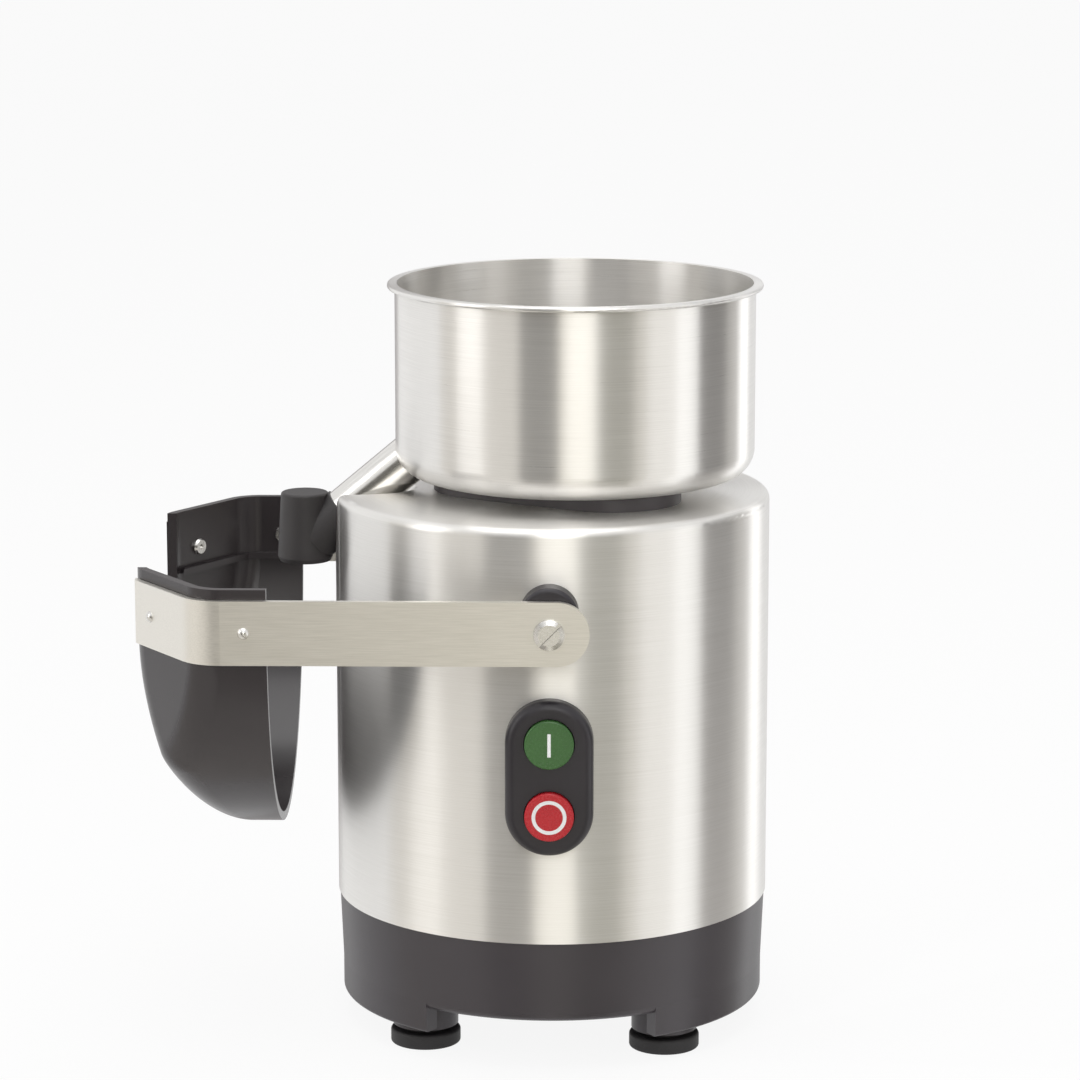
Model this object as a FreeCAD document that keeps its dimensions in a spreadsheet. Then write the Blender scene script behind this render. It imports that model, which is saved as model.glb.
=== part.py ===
import FreeCAD, Part
import math
import os
import re
import Sketcher

doc = FreeCAD.newDocument("citrus_juicer")
sheet = doc.addObject("Spreadsheet::Sheet", "Sizes")

# Driving dimensions in millimetres and degrees, measured from the casing's axis and the table
sizes = {
    "axis_x": 42.75,
    "fit_gap": 0.06, "run_gap": 0.05, "free_gap": 0.4,
    # base
    "foot_radius": 16.0, "foot_height": 7.0, "foot_neck_radius": 11.0, "foot_neck": 2.0,
    "foot_inset": 20.5, "foot_turn": -2.8, "foot_recess": 3.0,
    "foot_boss_radius": 15.0, "foot_boss": 14.2,
    "leg_drop": 10.6, "leg_wall": 8.0, "leg_edge": 1.5, "arch_angle": 32.0,
    "tray_height": 37.3, "tray_inset": 0.6, "tray_draft": 1.4, "tray_round": 4.0,
    "tray_wall": 3.0, "column_radius": 5.5, "column_inset": 12.0, "column_spread": 22.0,
    "base_screw_radius": 2.0, "base_screw_head": 4.0, "base_head_depth": 2.5, "base_nut_radius": 4.0,
    "base_nut_depth": 3.2, "gland_radius": 7.0, "gland_reach": 9.0, "gland_rise": 15.0, "cord_bore": 3.6,
    # casing
    "casing_radius": 100.0, "casing_height": 188.5, "casing_wall": 1.2, "casing_edge": 4.0,
    "casing_flange": 15.0, "trough_radius": 19.0, "trough_gap": 1.8,
    # bowl seat
    "shaft_x": 10.4, "hub_height": 7.4, "hub_pitch": 33.0, "hub_corner": 32.0, "hub_edge": 2.2,
    "lug_inner": 25.5, "lug_outer": 32.5, "lug_height": 15.0, "lug_draft": 1.2, "lug_span": 80.0,
    "lug_angle": 126.0, "lug_root": 2.5, "lug_edge": 1.0,
    "back_lug_outer": 38.6, "back_lug_span": 44.0, "disc_radius": 9.6, "disc_depth": 1.5,
    "disc_pitch": 47.5, "disc_proud": 0.3, "cover_radius": 17.0, "cover_depth": 0.8,
    "hub_screw_radius": 2.0, "hub_screw_head": 3.8, "hub_head_depth": 2.2, "hub_screw_pitch": 47.5,
    # drive
    "shaft_radius": 6.4, "shaft_root_radius": 6.9, "shaft_reach": 48.0, "shaft_step": 18.5,
    "journal_radius": 7.5, "shaft_chamfer": 1.0,
    "bearing_radius": 17.5, "bearing_width": 11.0, "bearing_lip": 2.0,
    "shield_radius": 60.0, "shield_wall": 7.0, "shield_floor": 13.0, "shield_skirt": 26.0,
    "core_radius": 57.0, "core_bore": 33.0, "core_height": 60.0, "air_gap": 0.6,
    "winding_inner": 36.0, "winding_outer": 51.0, "winding_height": 16.0, "winding_round": 5.0,
    "bolt_pitch": 54.5, "bolt_radius": 2.0, "bolt_head": 3.8, "bolt_head_depth": 3.0,
    "fan_radius": 46.0, "fan_height": 14.0, "fan_plate": 2.0, "fan_hub_radius": 12.0, "fan_blade": 2.0,
    "fan_gap": 3.0, "fan_blades": 9.0, "clip_radius": 10.0, "clip_width": 1.2, "clip_groove": 0.7,
    "shaft_tail": 3.0, "capacitor_radius": 15.0, "capacitor_height": 62.0, "capacitor_gap": 13.0,
    "capacitor_round": 2.0,
    # controls
    "panel_width": 39.2, "panel_height": 70.5, "panel_z": 138.2, "panel_reach": 8.0, "panel_edge": 4.0,
    "button_radius": 11.0, "button_spacing": 32.7, "button_proud": 2.6, "button_depth": 8.0,
    "button_edge": 0.8, "stem_radius": 3.0, "button_travel": 3.0, "collar_gap": 0.35,
    "switch_width": 22.0, "switch_height": 54.0, "switch_depth": 26.0,
    "panel_screw_gap": 4.2, "panel_screw_radius": 1.4, "panel_screw_head": 2.6,
    "panel_head_depth": 1.6, "panel_screw_bite": 5.0,
    # guard
    "pivot_z": 205.3, "boss_radius": 12.9, "boss_lift": 6.8, "boss_reach": 10.7, "boss_edge": 1.8,
    "washer_radius": 9.0, "washer_width": 0.8, "strap_height": 28.7, "strap_width": 3.0,
    "strap_tail": 3.4, "pivot_radius": 4.0, "pivot_head_radius": 6.8,
    "pivot_head_depth": 2.4, "slot_width": 1.6, "slot_depth": 1.1, "bush_wall": 1.2, "pivot_nut_radius": 7.0,
    "pivot_nut_depth": 5.0,
    "guard_gap": 23.6, "guard_side": 29.4, "guard_nose": 32.5, "guard_front_half": 63.9,
    "guard_rise": 18.8, "strap_gap": 0.3, "guard_wall": 4.0, "guard_bow": 140.0, "guard_bow_drop": 10.0,
    "guard_slot_inset": 1.0, "guard_slot_drop": 36.0, "guard_round": 18.0, "rib_drop": 8.6,
    "rib_height": 3.0, "rib_depth": 3.0, "guard_screw_radius": 2.0, "guard_head_radius": 3.9,
    "guard_head_depth": 2.2, "guard_dome": 2.65, "guard_dome_height": 1.6, "guard_socket": 1.3,
    "guard_front_screw": 18.4,
    # bowl
    "bowl_radius": 82.5, "bowl_height": 88.0, "bowl_wall": 1.0, "bowl_round": 12.0,
    "bowl_rim": 3.4, "bowl_rim_height": 2.2, "collar_height": 24.0, "collar_wall": 1.2, "lug_gap": 2.2,
    "spout_radius": 11.0, "spout_wall": 1.0, "spout_slope": 40.0, "spout_rise": 0.8, "tip_gap": 1.6,
    "tip_radius": 11.0, "tip_flare": 1.7, "tip_top": 24.8, "tip_drop": 7.2, "tip_wall": 2.2,
    "tip_socket_wall": 0.8, "tip_socket": 24.4, "tip_insert": 10.4, "tip_root": 5.0, "tip_edge": 1.2,
}
# Sizes that follow from others, each from those above it
derived = {
    "tray_radius": "(casing_radius - tray_inset)",
    "tray_foot_radius": "(tray_radius - tray_draft)",
    "foot_pitch": "(tray_foot_radius - foot_inset)",
    "column_pitch": "(casing_radius - column_inset)",
    "capacitor_x": "(-(tray_foot_radius - tray_round - capacitor_radius - capacitor_gap))",
    "panel_screw_pitch": "(switch_height / 2 + panel_screw_gap)",
    "boss_face": "(casing_radius + boss_reach)",
    "strap_in": "(boss_face + washer_width)",
    "strap_out": "(strap_in + strap_width)",
    "guard_radius": "(strap_in - strap_gap)",
    "guard_open": "(casing_radius + guard_gap)",
    "guard_bend": "(guard_open + guard_side)",
    "guard_front": "(guard_bend + guard_nose)",
    "guard_screw_u": "(guard_open + guard_side / 3)",
    "guard_slot_half": "(guard_front_half - guard_slot_inset)",
    "tip_back": "(casing_radius + tip_gap + tip_radius + tip_flare)",
    "tip_step": "((tip_back - bowl_radius + shaft_x) / cos(spout_slope))",
    "spout_reach": "(tip_step - tip_socket + tip_insert)",
}
for row, (alias, value) in enumerate(sizes.items(), 1):
    sheet.set(f"A{row}", alias)
    sheet.set(f"B{row}", str(value))
    sheet.setAlias(f"B{row}", alias)
doc.recompute()


def ref(text):
    """The expression with each size written as a cell of the sheet."""
    text = str(text)
    for name in reversed(derived):
        text = re.sub(rf"\b{name}\b", derived[name], text)
    return re.sub(r"[a-z]+(?:_[a-z]+)+", r"Sizes.\g<0>", text)


def num(text):
    """The present value of an expression."""
    return float(sheet.evalExpression(ref(text)))


def bind(item, **texts):
    """Bind properties to expressions of sizes."""
    for name, text in texts.items():
        item.setExpression(name, ref(text))


def place(item, x="0", y="0", z="0", turn=None):
    """Set an object down at x, y, z from the casing's axis."""
    if turn:
        item.Placement = FreeCAD.Placement(FreeCAD.Vector(), FreeCAD.Rotation(*turn))
    item.setExpression("Placement.Base.x", ref(f"axis_x + ({x})"))
    item.setExpression("Placement.Base.y", ref(y))
    item.setExpression("Placement.Base.z", ref(z))
    return item


def arc_between(start, end, radius):
    """Arc from start to end, to the left of the way there if the radius is negative."""
    middle = (start + end) * 0.5
    half = (end - start) * 0.5
    rise = math.sqrt(max(radius ** 2 - half.Length ** 2, 0.0)) / half.Length
    side = FreeCAD.Vector(-half.y, half.x, 0) * rise * (1 if radius > 0 else -1)
    centre = middle + side
    circle = Part.Circle(centre, FreeCAD.Vector(0, 0, 1), abs(radius))
    first, last = (start, end) if radius > 0 else (end, start)
    return Part.ArcOfCircle(circle, circle.parameter(first), circle.parameter(last))


def outline(sketch, corners):
    """Closed outline through corners (x, y), or (x, y, radius) where an arc leads to the corner."""
    spots = [FreeCAD.Vector(num(c[0]), num(c[1]), 0) for c in corners]
    ends = []
    for i, corner in enumerate(corners):
        bow = num(corner[2]) if len(corner) == 3 else 0
        if bow:
            edge = sketch.addGeometry(arc_between(spots[i - 1], spots[i], bow))
        else:
            edge = sketch.addGeometry(Part.LineSegment(spots[i - 1], spots[i]))
        ends.append((edge, 1, 2) if bow >= 0 else (edge, 2, 1))
    for i, corner in enumerate(corners):
        edge, first, last = ends[i]
        after = ends[(i + 1) % len(ends)]
        sketch.addConstraint(Sketcher.Constraint("Coincident", edge, last, after[0], after[1]))
        for kind, text, value in (("DistanceX", corner[0], spots[i].x), ("DistanceY", corner[1], spots[i].y)):
            rule = sketch.addConstraint(Sketcher.Constraint(kind, -1, 1, edge, last, value))
            sketch.setExpression(f"Constraints[{rule}]", ref(text))
        half_turn = len(corner) == 3 and (spots[i] - spots[i - 1]).Length > 1.99 * abs(num(corner[2]))
        if half_turn:
            sketch.addConstraint(Sketcher.Constraint("Horizontal", edge, 3, edge, last))
        elif len(corner) == 3:
            rule = sketch.addConstraint(Sketcher.Constraint("Radius", edge, abs(num(corner[2]))))
            sketch.setExpression(f"Constraints[{rule}]", ref(f"abs({corner[2]})"))


def sketch_on(owner, role, corners, lift="0"):
    """Sketch of an outline on one of the body's origin planes, lifted along its normal."""
    plane = [f for f in owner.Origin.OriginFeatures if f.Role == role][0]
    sketch = owner.newObject("Sketcher::SketchObject", owner.Name + "_outline")
    sketch.AttachmentSupport = (plane, "")
    sketch.MapMode = "FlatFace"
    sketch.setExpression("AttachmentOffset.Base.z", ref(lift))
    outline(sketch, corners)
    return sketch


def body(label):
    made = doc.addObject("PartDesign::Body", label)
    made.Label = label
    return made


def turned(label, corners, x="0", y="0", z="0", turn=None, angle="360"):
    """Body turned about its own upright axis from corners (radius, height)."""
    made = body(label)
    sketch = sketch_on(made, "XZ_Plane", corners)
    spin = made.newObject("PartDesign::Revolution", label + "_turned")
    spin.Profile = sketch
    spin.ReferenceAxis = (sketch, ["V_Axis"])
    bind(spin, Angle=angle)
    return place(made, x, y, z, turn)


def padded(label, role, corners, depth, lift="0", x="0", y="0", z="0", turn=None):
    """Body padded from an outline on an origin plane."""
    made = body(label)
    sketch = sketch_on(made, role, corners, lift)
    pad = made.newObject("PartDesign::Pad", label + "_padded")
    pad.Profile = sketch
    bind(pad, Length=depth)
    return place(made, x, y, z, turn)


def rod(label, radius, height, x="0", y="0", z="0", turn=None):
    """Plain cylinder whose base centre is at x, y, z."""
    made = doc.addObject("Part::Cylinder", label)
    bind(made, Radius=radius, Height=height)
    return place(made, x, y, z, turn)


def joined(label, kind, items):
    """Fuse or common of several objects, or a compound that keeps them apart."""
    made = doc.addObject(kind, label)
    made.Label = label
    if kind == "Part::Compound":
        made.Links = items
    else:
        made.Shapes = items
    return made


def fused(label, items):
    return joined(label, "Part::MultiFuse", items)


def cut(label, base, tools):
    """The base without the tools."""
    made = doc.addObject("Part::Cut", label)
    made.Base = base
    made.Tool = tools[0] if len(tools) == 1 else fused(label + "_tools", tools)
    made.Label = label
    return made


def rounded(label, base, radius, wanted):
    """Round the edges of the base that the test wants."""
    doc.recompute()
    made = doc.addObject("Part::Fillet", label)
    made.Base = base
    size = num(radius)
    made.Edges = [(i, size, size) for i, e in enumerate(base.Shape.Edges, 1) if wanted(e)]
    made.Label = label
    return made


def screw(label, shank, reach, head, depth, x, y, z, turn=None):
    """Pan screw with its head's underside at x, y, z and its shank downwards in its own frame."""
    corners = [("0", f"-({reach})"), (shank, f"-({reach})"), (shank, "0"), (head, "0"),
               (head, f"0.6 * ({depth})"), (f"0.7 * ({head})", depth), ("0", depth)]
    return turned(label, corners, x, y, z, turn)


def stadium(half_width, low, high):
    """Upright stadium outline round two centres on the vertical axis."""
    return [(f"-({half_width})", low), (half_width, low, half_width),
            (half_width, high), (f"-({half_width})", high, half_width)]


def along(angle, radius):
    """Place at a radius and angle about an axis, as two expressions."""
    return f"({radius}) * cos({angle})", f"({radius}) * sin({angle})"


# Turns that lay a piece's own upright axis along the near or the far side, pointing outwards
near = (FreeCAD.Vector(1, 0, 0), 90)
far = (FreeCAD.Vector(1, 0, 0), -90)
down = (FreeCAD.Vector(1, 0, 0), 180)
slope = (FreeCAD.Vector(0, 1, 0), -(90 + num("spout_slope")))
pieces = []

# Levels
tray_bottom = "(foot_height + foot_neck + foot_boss)"
tray_top = f"({tray_bottom} + tray_height)"
casing_top = f"({tray_top} + casing_height)"
casing_inner = "(casing_radius - casing_wall)"
ceiling = f"({casing_top} - casing_wall)"
hub_top = f"({casing_top} + hub_height)"
bowl_bottom = f"({hub_top} + disc_proud)"

# Base tray, feet and their fasteners
tray_shell = turned("tray_shell", [
    ("0", tray_bottom), ("tray_foot_radius - tray_round", tray_bottom),
    ("tray_foot_radius", f"{tray_bottom} + tray_round", "tray_round"), ("tray_radius", tray_top),
    ("tray_radius - tray_wall", tray_top),
    ("tray_foot_radius - tray_wall", f"{tray_bottom} + tray_round"),
    ("tray_foot_radius - tray_round", f"{tray_bottom} + tray_wall", "-(tray_round - tray_wall)"),
    ("0", f"{tray_bottom} + tray_wall")])
leg_bottom = f"({tray_bottom} - leg_drop)"
legs = []
for name, start in (("left", 90), ("right", -90)):
    turn = (FreeCAD.Vector(0, 0, 1), start + num("arch_angle + foot_turn"))
    legs.append(turned(f"leg_{name}", [
        ("tray_foot_radius - leg_wall", leg_bottom), ("tray_foot_radius - leg_edge", leg_bottom),
        ("tray_foot_radius", f"{leg_bottom} + leg_edge", "leg_edge"),
        ("tray_foot_radius", f"{tray_bottom} + tray_round"),
        ("tray_foot_radius - tray_wall", f"{tray_bottom} + tray_round"),
        ("tray_foot_radius - tray_wall", f"{tray_bottom} + tray_wall / 2"),
        ("tray_foot_radius - leg_wall", f"{tray_bottom} + tray_wall / 2")], turn=turn,
        angle="180 - 2 * arch_angle"))
corners_of_base = {"front_right": 135, "front_left": -135, "rear_right": 45, "rear_left": -45}
tray_extras, tray_holes, foot_screws, base_screws, base_nuts = [], [], [], [], []
for name, angle in corners_of_base.items():
    x, y = along(f"{angle} + foot_turn", "foot_pitch")
    boss = f"foot_boss_{name}"
    tray_extras.append(rod(boss, "foot_boss_radius", "foot_boss + tray_wall", x, y, "foot_height + foot_neck"))
    pieces.append(turned(f"foot_{name}", [
        ("base_screw_radius + fit_gap", "foot_recess"),
        ("base_screw_head + free_gap", "foot_recess"), ("base_screw_head + free_gap", "0"),
        ("foot_radius - 1", "0"), ("foot_radius", "1", "1"), ("foot_radius", "foot_height - 1.5"),
        ("foot_radius - 1.5", "foot_height", "1.5"), ("foot_neck_radius", "foot_height"),
        ("foot_neck_radius", "foot_height + foot_neck"),
        ("base_screw_radius + fit_gap", "foot_height + foot_neck")], x, y))
    tray_holes.append(rod(f"foot_bore_{name}", "base_screw_radius + fit_gap", "foot_boss",
                          x, y, "foot_height + foot_neck"))
    foot_screws.append(screw(f"foot_screw_{name}", "base_screw_radius",
                             "foot_height + foot_neck - foot_recess + foot_boss - 1", "base_screw_head",
                             "base_head_depth", x, y, "foot_recess", down))
column_angles = [f"{middle} + {side} * column_spread + foot_turn" for middle in (-90, 90) for side in (-1, 1)]
for quarter, angle in enumerate(column_angles):
    x, y = along(angle, "column_pitch")
    tray_extras.append(rod(f"column_{quarter}", "column_radius", "tray_height - tray_wall - fit_gap",
                           x, y, f"{tray_bottom} + tray_wall"))
    tray_holes.append(rod(f"column_bore_{quarter}", "base_screw_radius + fit_gap", "tray_height + 1",
                          x, y, tray_bottom))
    tray_holes.append(rod(f"column_recess_{quarter}", "base_screw_head + free_gap", "base_head_depth + 1",
                          x, y, tray_bottom))
    base_screws.append(screw(f"base_screw_{quarter}", "base_screw_radius",
                             "tray_height - base_head_depth - 1 + casing_wall + base_nut_depth",
                             "base_screw_head", "base_head_depth",
                             x, y, f"{tray_bottom} + base_head_depth + 1", down))
    base_nuts.append(turned(f"base_nut_{quarter}", [
        ("base_screw_radius + fit_gap", "0"), ("base_nut_radius", "0"), ("base_nut_radius", "base_nut_depth"),
        ("base_screw_radius + fit_gap", "base_nut_depth")], x, y, f"{tray_top} + casing_wall"))
tray_holes.append(rod("gland_hole", "gland_radius - 1.5 + fit_gap", "tray_wall + 8",
                      "0", "tray_foot_radius - tray_wall - 4", f"{tray_bottom} + gland_rise", far))
tray_body = fused("tray_body", [tray_shell] + legs + tray_extras)
pieces.append(cut("base_tray", tray_body, tray_holes))
pieces.append(joined("foot_screws", "Part::Compound", foot_screws))
pieces.append(joined("base_screws", "Part::Compound", base_screws))
pieces.append(joined("base_nuts", "Part::Compound", base_nuts))
pieces.append(turned("cord_gland", [
    ("cord_bore", "-tray_wall - 4"), ("gland_radius - 1.5", "-tray_wall - 4"), ("gland_radius - 1.5", "0.6"),
    ("gland_radius", "0.6"), ("gland_radius - 1", "gland_reach"), ("cord_bore", "gland_reach")],
    "0", "tray_radius", f"{tray_bottom} + gland_rise", far))

# Casing: a thin shell with an inturned flange and a trough that lets the spout through
spout_x = "(shaft_x - bowl_radius)"
spout_z = f"({bowl_bottom} + spout_rise)"
trough_lift = "(trough_radius - spout_radius - trough_gap)"


def up_spout(step, lift="0"):
    """Place on the spout's axis, a step down it and a lift square to it, as x and z."""
    x = f"{spout_x} - ({step}) * cos(spout_slope) - ({lift}) * sin(spout_slope)"
    z = f"{spout_z} - ({step}) * sin(spout_slope) + ({lift}) * cos(spout_slope)"
    return x, z


def trough(label, radius, start, length):
    """Round-bottomed channel along the spout, open upwards."""
    x, z = up_spout(start, trough_lift)
    round_part = rod(label + "_round", radius, length, x, "0", z, slope)
    made = body(label + "_open")
    sketch = sketch_on(made, "XY_Plane", [("0", f"-({radius})"), ("4 * trough_radius", f"-({radius})"),
                                          ("4 * trough_radius", radius), ("0", radius)])
    pad = made.newObject("PartDesign::Pad", label + "_pad")
    pad.Profile = sketch
    bind(pad, Length=length)
    place(made, x, "0", z, slope)
    return fused(label, [round_part, made])


def casing_form(label, inset, floor, opening):
    """Solid inside of the casing's skin, or the skin's outside where the inset is nothing."""
    radius = f"(casing_radius - {inset})"
    top = f"({casing_top} - {inset})"
    edge = f"(casing_edge - {inset})"
    corners = [("0", tray_top), (opening, tray_top), (opening, floor), (radius, floor),
               (radius, f"{top} - {edge}"), (f"{radius} - {edge}", top, edge), ("0", top)]
    if opening == radius:
        del corners[1:3]
        corners[1] = (radius, tray_top)
    return turned(label, corners)


outside = casing_form("casing_outside", "0 * casing_wall", tray_top, "(casing_radius - 0 * casing_wall)")
inside = casing_form("casing_inside", "casing_wall", f"{tray_top} + casing_wall",
                     f"{casing_inner} - casing_flange")
trough_skin = trough("trough_skin", "trough_radius + casing_wall", "-60", "140")
cavity = cut("casing_cavity", inside, [trough_skin])
pivot_hole = "pivot_radius + fit_gap"
switch_gap = "switch_width / 2 + 1"
casing_holes = [cavity, trough("trough_way", "trough_radius", "-60", "140")]
casing_holes.append(rod("pivot_holes", pivot_hole, "2 * casing_radius + 2", "0", "casing_radius + 1", "pivot_z", near))
casing_holes.append(rod("seal_hole", "bearing_radius - bearing_lip", "4 * casing_wall", "shaft_x", "0",
                        f"{casing_top} - 2 * casing_wall"))
casing_holes.append(padded("switch_hole", "XZ_Plane", [
    (f"-({switch_gap})", "-(switch_height / 2 + 1)"), (switch_gap, "-(switch_height / 2 + 1)"),
    (switch_gap, "switch_height / 2 + 1"), (f"-({switch_gap})", "switch_height / 2 + 1")],
    "casing_radius / 2", "casing_radius - casing_radius / 4", z="panel_z"))
for side in (-1, 1):
    casing_holes.append(rod(f"panel_hole_{side + 2}", "panel_screw_radius + fit_gap", "casing_radius / 4",
                            "0", "-casing_radius * 7 / 8", f"panel_z + {side} * panel_screw_pitch", near))
for quarter, angle in enumerate(column_angles):
    x, y = along(angle, "column_pitch")
    casing_holes.append(rod(f"flange_hole_{quarter}", "base_screw_radius + fit_gap", "4 * casing_wall",
                            x, y, f"{tray_top} - casing_wall"))
hub_angles = (180, 60, -60)
for number, angle in enumerate(hub_angles):
    x, y = along(str(angle), "hub_screw_pitch")
    casing_holes.append(rod(f"roof_hole_{number}", "hub_screw_radius + fit_gap", "4 * casing_wall",
                            f"shaft_x + {x}", y, f"{casing_top} - 2 * casing_wall"))
pieces.append(cut("housing", outside, casing_holes))

# Bowl seat on the roof, with its lugs, polished discs and fasteners
hub_outline = []
for angle in (-60, 60, 180):
    for turn, bow in ((-60, None), (60, "hub_corner")):
        a, b = along(str(angle), "hub_pitch"), along(str(angle + turn), "hub_corner")
        spot = (f"{a[0]} + {b[0]}", f"{a[1]} + {b[1]}")
        hub_outline.append(spot if bow is None else spot + (bow,))
plate = padded("seat_plate", "XY_Plane", hub_outline, "hub_height", x="shaft_x", z=casing_top)


def lug(label, outer, span, angle):
    """Drafted upright lug, part of a ring about the shaft."""
    corners = [("lug_inner - lug_draft", "-hub_height / 2"), (f"{outer} + lug_draft", "-hub_height / 2"),
               (outer, "lug_height"), ("lug_inner", "lug_height")]
    turn = (FreeCAD.Vector(0, 0, 1), angle - num(span) / 2)
    return turned(label, corners, "shaft_x", "0", hub_top, turn, span)


lugs = [lug("lug_near", "lug_outer", "lug_span", -num("lug_angle")),
        lug("lug_far", "lug_outer", "lug_span", num("lug_angle")),
        lug("lug_back", "back_lug_outer", "back_lug_span", 0)]
high = num(hub_top)
soft_plate = rounded("soft_plate", plate, "hub_edge", lambda e: abs(e.BoundBox.ZMin - high) < 0.01)
disc_floor = f"({hub_top} + disc_proud - disc_depth)"
hub_holes = [rod("seal_bore", "bearing_radius - bearing_lip", "hub_height + 1", "shaft_x", "0", casing_top),
             rod("cover_seat", "cover_radius + fit_gap", "2 * cover_depth", "shaft_x", "0",
                 f"{hub_top} - cover_depth")]
discs, hub_screws = [], []
for number, angle in enumerate(hub_angles):
    x, y = along(str(angle), "disc_pitch")
    hub_holes.append(rod(f"disc_seat_{number}", "disc_radius + fit_gap", "2 * disc_depth",
                         f"shaft_x + {x}", y, disc_floor))
    discs.append(turned(f"seat_disc_{number}", [
        ("0", "0"), ("disc_radius", "0"), ("disc_radius", "disc_depth - 0.2"),
        ("disc_radius - 0.2", "disc_depth"), ("0", "disc_depth")], f"shaft_x + {x}", y, disc_floor))
    x, y = along(str(angle), "hub_screw_pitch")
    hub_holes.append(rod(f"screw_seat_{number}", "hub_screw_head + fit_gap", "hub_height",
                         f"shaft_x + {x}", y, f"{disc_floor} - hub_head_depth - fit_gap"))
    hub_holes.append(rod(f"screw_way_{number}", "hub_screw_radius + fit_gap", "2 * hub_height",
                         f"shaft_x + {x}", y, f"{casing_top} - hub_height"))
    hub_screws.append(screw(f"hub_screw_{number}", "hub_screw_radius",
                            f"{disc_floor} - hub_head_depth - fit_gap - {ceiling} + shield_floor / 2",
                            "hub_screw_head", "hub_head_depth", f"shaft_x + {x}", y,
                            f"{disc_floor} - hub_head_depth - fit_gap"))
seat = fused("seat_with_lugs", [cut("drilled_plate", soft_plate, hub_holes)] + lugs)
hub_x = num("axis_x + shaft_x")


def lug_roots(edge):
    """Edges where a lug stands on the plate."""
    middle = edge.CenterOfMass
    away = math.hypot(middle.x - hub_x, middle.y)
    level = abs(edge.BoundBox.ZMin - high) < 0.01 and edge.BoundBox.ZLength < 0.01
    return level and num("cover_radius + 1") < away < num("back_lug_outer + 2 * lug_draft") \
        and edge.BoundBox.DiagonalLength > num("lug_draft") and not is_disc(edge)


def is_disc(edge):
    """Is this the edge of a disc's seat?"""
    return getattr(edge.Curve, "Radius", 0) and abs(edge.Curve.Radius - num("disc_radius + fit_gap")) < 0.01


soft_seat = rounded("soft_seat", seat, "lug_root", lug_roots)
top_of_lugs = num(f"{hub_top} + lug_height")
pieces.append(rounded("hub_plate", soft_seat, "lug_edge",
                      lambda e: abs(e.BoundBox.ZMin - top_of_lugs) < 0.01))
pieces.append(joined("seat_discs", "Part::Compound", discs))
pieces.append(joined("hub_screws", "Part::Compound", hub_screws))
pieces.append(turned("shaft_cover_disc", [
    ("shaft_root_radius + 1", "0"), ("cover_radius", "0"), ("cover_radius", "cover_depth"),
    ("shaft_root_radius + 1", "cover_depth")], "shaft_x", "0", f"{hub_top} - cover_depth"))
pieces.append(turned("shaft_seal", [
    ("shaft_root_radius + run_gap", "0"), ("bearing_radius - bearing_lip - fit_gap", "0"),
    ("bearing_radius - bearing_lip - fit_gap", "hub_height + casing_wall - cover_depth - fit_gap"),
    ("shaft_root_radius + 2", "hub_height + casing_wall - cover_depth - fit_gap"),
    ("shaft_root_radius + run_gap", "hub_height - cover_depth")], "shaft_x", "0", f"{ceiling}"))

# Motor hung under the roof, and what turns with its shaft
motor_top = ceiling
core_top = f"({motor_top} - shield_skirt - shield_floor)"
core_bottom = f"({core_top} - core_height)"
motor_bottom = f"({core_bottom} - shield_skirt - shield_floor)"
shaft_top = f"({hub_top} + shaft_reach)"
fan_top = f"({motor_bottom} - fan_gap)"
shaft_end = f"({fan_top} - fan_height - clip_width - shaft_tail)"


def ring(label, inner, outer, low, height, x="shaft_x"):
    """Plain ring about the shaft."""
    return turned(label, [(inner, "0"), (outer, "0"), (outer, height), (inner, height)], x, "0", low)


def shield(label, z, turn=None):
    """Motor end shield: a bored floor with a bearing seat and a skirt down to the core."""
    seat = "bearing_radius + fit_gap"
    return turned(label, [
        ("bearing_radius - bearing_lip", "0"), ("shield_radius", "0"),
        ("shield_radius", "-shield_floor - shield_skirt"),
        ("shield_radius - shield_wall", "-shield_floor - shield_skirt"),
        ("shield_radius - shield_wall", "-shield_floor"), (seat, "-shield_floor"),
        (seat, "-bearing_lip + fit_gap"), ("bearing_radius - bearing_lip", "-bearing_lip + fit_gap")],
        "shaft_x", "0", z, turn)


bolts, bolt_holes = [], []
for quarter in range(4):
    x, y = along(str(45 + 90 * quarter), "bolt_pitch")
    bolts.append(screw(f"tie_bolt_{quarter}", "bolt_radius", f"{motor_top} - {motor_bottom} - bearing_lip",
                       "bolt_head", "bolt_head_depth", f"shaft_x + {x}", y, motor_bottom, down))
    bolt_holes.append(rod(f"bolt_way_{quarter}", "bolt_radius + fit_gap", f"{motor_top} - {motor_bottom}",
                          f"shaft_x + {x}", y, f"{motor_bottom} - bearing_lip + fit_gap"))
bolt_ways = fused("bolt_ways", bolt_holes)
shield_screws = fused("shield_screw_ways", [
    rod(f"shield_way_{n}", "hub_screw_radius + fit_gap", "shield_floor",
        f"shaft_x + ({along(str(a), 'hub_screw_pitch')[0]})", along(str(a), "hub_screw_pitch")[1],
        f"{ceiling} - shield_floor + 1") for n, a in enumerate(hub_angles)])
pieces.append(cut("motor_top_shield", shield("top_shield_form", motor_top), [bolt_ways, shield_screws]))
pieces.append(cut("motor_bottom_shield", shield("bottom_shield_form", motor_bottom, down), [bolt_ways]))
pieces.append(cut("stator_core", ring("core_form", "core_bore", "core_radius", core_bottom, "core_height"),
                  [bolt_ways]))
pieces.append(joined("motor_tie_bolts", "Part::Compound", bolts))
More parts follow.
